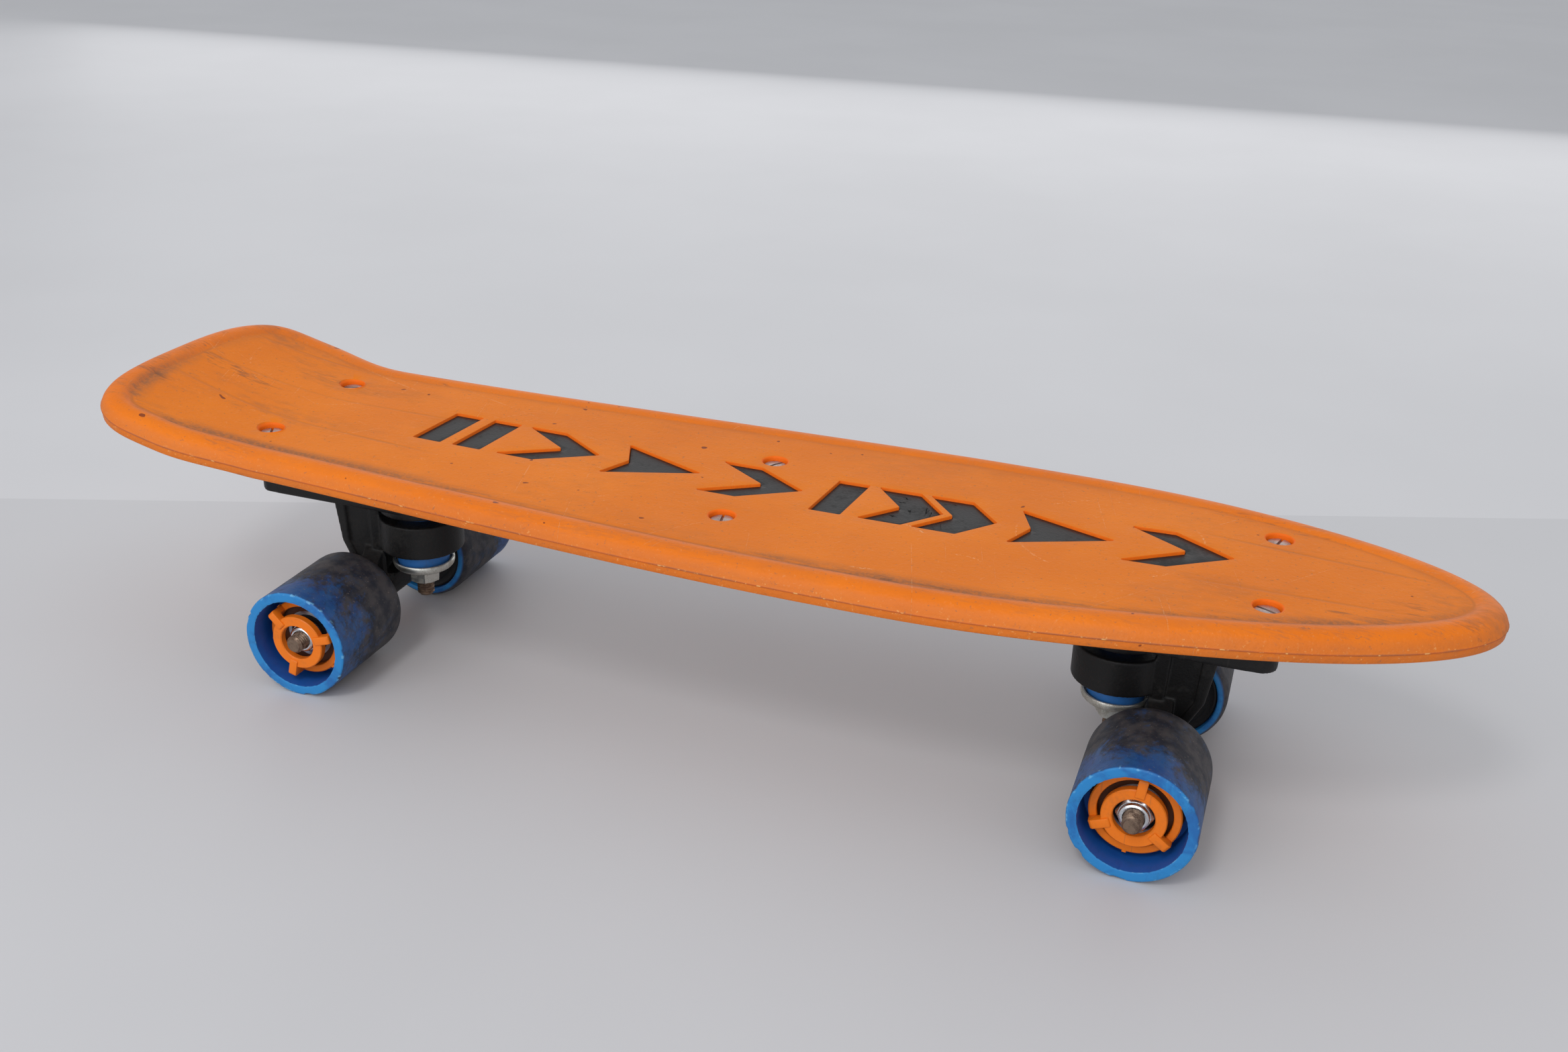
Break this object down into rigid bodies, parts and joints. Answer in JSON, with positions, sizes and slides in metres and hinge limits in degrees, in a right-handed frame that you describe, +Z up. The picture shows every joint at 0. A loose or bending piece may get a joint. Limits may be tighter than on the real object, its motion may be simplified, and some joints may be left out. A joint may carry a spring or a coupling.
{
  "type": "skateboard",
  "caption": "Small moulded cruiser skateboard: ribbed plastic deck with a kick tail and cut-out marks, black underframe, sprung steering trucks and hubbed wheels on ball bearings.",
  "frame": {"origin": "middle of the board's footprint, on the ground that the wheels stand on", "axes": "+X towards the nose, +Y to the rider's left when facing the nose, +Z up"},
  "size_m": [0.604, 0.1574, 0.1249],
  "materials": {
    "deck_shell": "grained top, smooth satin rim",
    "black_moulding": "fine grained satin",
    "screw_steel": "dull, slightly stained",
    "nut_zinc": "dull zinc",
    "washer_zinc": "dull zinc",
    "aged_steel": "dark, lightly rusted",
    "axle_nut_chrome": "bright plating, worn",
    "bearing_steel": "ground",
    "bushing_urethane": "matte",
    "wheel_urethane": "matte, tread worn and grimy",
    "hub_plastic": "satin",
    "cup_plastic": "satin"
  },
  "bodies": {
    "board": {"deck": "deck_shell", "underframe": "black_moulding", "deck_screws": "screw_steel", "deck_screw_nuts": "nut_zinc", "rear_kingpin": "aged_steel", "rear_kingpin_nut": "nut_zinc", "rear_cup_washer": "washer_zinc", "rear_top_washer": "washer_zinc", "rear_lower_bushing": "bushing_urethane", "rear_upper_bushing": "bushing_urethane", "rear_pivot_cup": "cup_plastic", "front_kingpin": "aged_steel", "front_kingpin_nut": "nut_zinc", "front_cup_washer": "washer_zinc", "front_top_washer": "washer_zinc", "front_lower_bushing": "bushing_urethane", "front_upper_bushing": "bushing_urethane", "front_pivot_cup": "cup_plastic"},
    "rear_truck": {"rear_hanger": "black_moulding", "rear_axle": "aged_steel", "rear_axle_nuts": "axle_nut_chrome", "rear_axle_washers": "washer_zinc", "rear_right_bearing_balls": "bearing_steel", "rear_right_bearing_inner_rings": "bearing_steel", "rear_right_bearing_spacer": "washer_zinc", "rear_left_bearing_balls": "bearing_steel", "rear_left_bearing_inner_rings": "bearing_steel", "rear_left_bearing_spacer": "washer_zinc"},
    "front_truck": {"front_hanger": "black_moulding", "front_axle": "aged_steel", "front_axle_nuts": "axle_nut_chrome", "front_axle_washers": "washer_zinc", "front_right_bearing_balls": "bearing_steel", "front_right_bearing_inner_rings": "bearing_steel", "front_right_bearing_spacer": "washer_zinc", "front_left_bearing_balls": "bearing_steel", "front_left_bearing_inner_rings": "bearing_steel", "front_left_bearing_spacer": "washer_zinc"},
    "rear_right_wheel": {"rear_right_tyre": "wheel_urethane", "rear_right_hub": "hub_plastic", "rear_right_dust_cover": "cup_plastic", "rear_right_bearing_outer_rings": "bearing_steel", "rear_right_bearing_shields": "cup_plastic"},
    "rear_left_wheel": {"rear_left_tyre": "wheel_urethane", "rear_left_hub": "hub_plastic", "rear_left_dust_cover": "cup_plastic", "rear_left_bearing_outer_rings": "bearing_steel", "rear_left_bearing_shields": "cup_plastic"},
    "front_right_wheel": {"front_right_tyre": "wheel_urethane", "front_right_hub": "hub_plastic", "front_right_dust_cover": "cup_plastic", "front_right_bearing_outer_rings": "bearing_steel", "front_right_bearing_shields": "cup_plastic"},
    "front_left_wheel": {"front_left_tyre": "wheel_urethane", "front_left_hub": "hub_plastic", "front_left_dust_cover": "cup_plastic", "front_left_bearing_outer_rings": "bearing_steel", "front_left_bearing_shields": "cup_plastic"}
  },
  "joints": [
    {"name": "rear_truck_steer", "type": "hinge", "parent": "board", "child": "rear_truck", "pos_m": [-0.168, 0, 0.053], "axis": [0.8496, 0, -0.5274], "range_deg": [-10, 10], "stiffness_Nm_per_rad": 30, "deforming": ["rear_lower_bushing", "rear_upper_bushing"]},
    {"name": "front_truck_steer", "type": "hinge", "parent": "board", "child": "front_truck", "pos_m": [0.161, 0, 0.053], "axis": [-0.8496, 0, -0.5274], "range_deg": [-10, 10], "stiffness_Nm_per_rad": 30, "deforming": ["front_lower_bushing", "front_upper_bushing"]},
    {"name": "rear_right_wheel_spin", "type": "hinge", "parent": "rear_truck", "child": "rear_right_wheel", "pos_m": [-0.1875, -0.053, 0.025], "axis": [0, 1, 0], "continuous": true},
    {"name": "rear_left_wheel_spin", "type": "hinge", "parent": "rear_truck", "child": "rear_left_wheel", "pos_m": [-0.1875, 0.053, 0.025], "axis": [0, 1, 0], "continuous": true},
    {"name": "front_right_wheel_spin", "type": "hinge", "parent": "front_truck", "child": "front_right_wheel", "pos_m": [0.1805, -0.053, 0.025], "axis": [0, 1, 0], "continuous": true},
    {"name": "front_left_wheel_spin", "type": "hinge", "parent": "front_truck", "child": "front_left_wheel", "pos_m": [0.1805, 0.053, 0.025], "axis": [0, 1, 0], "continuous": true}
  ]
}
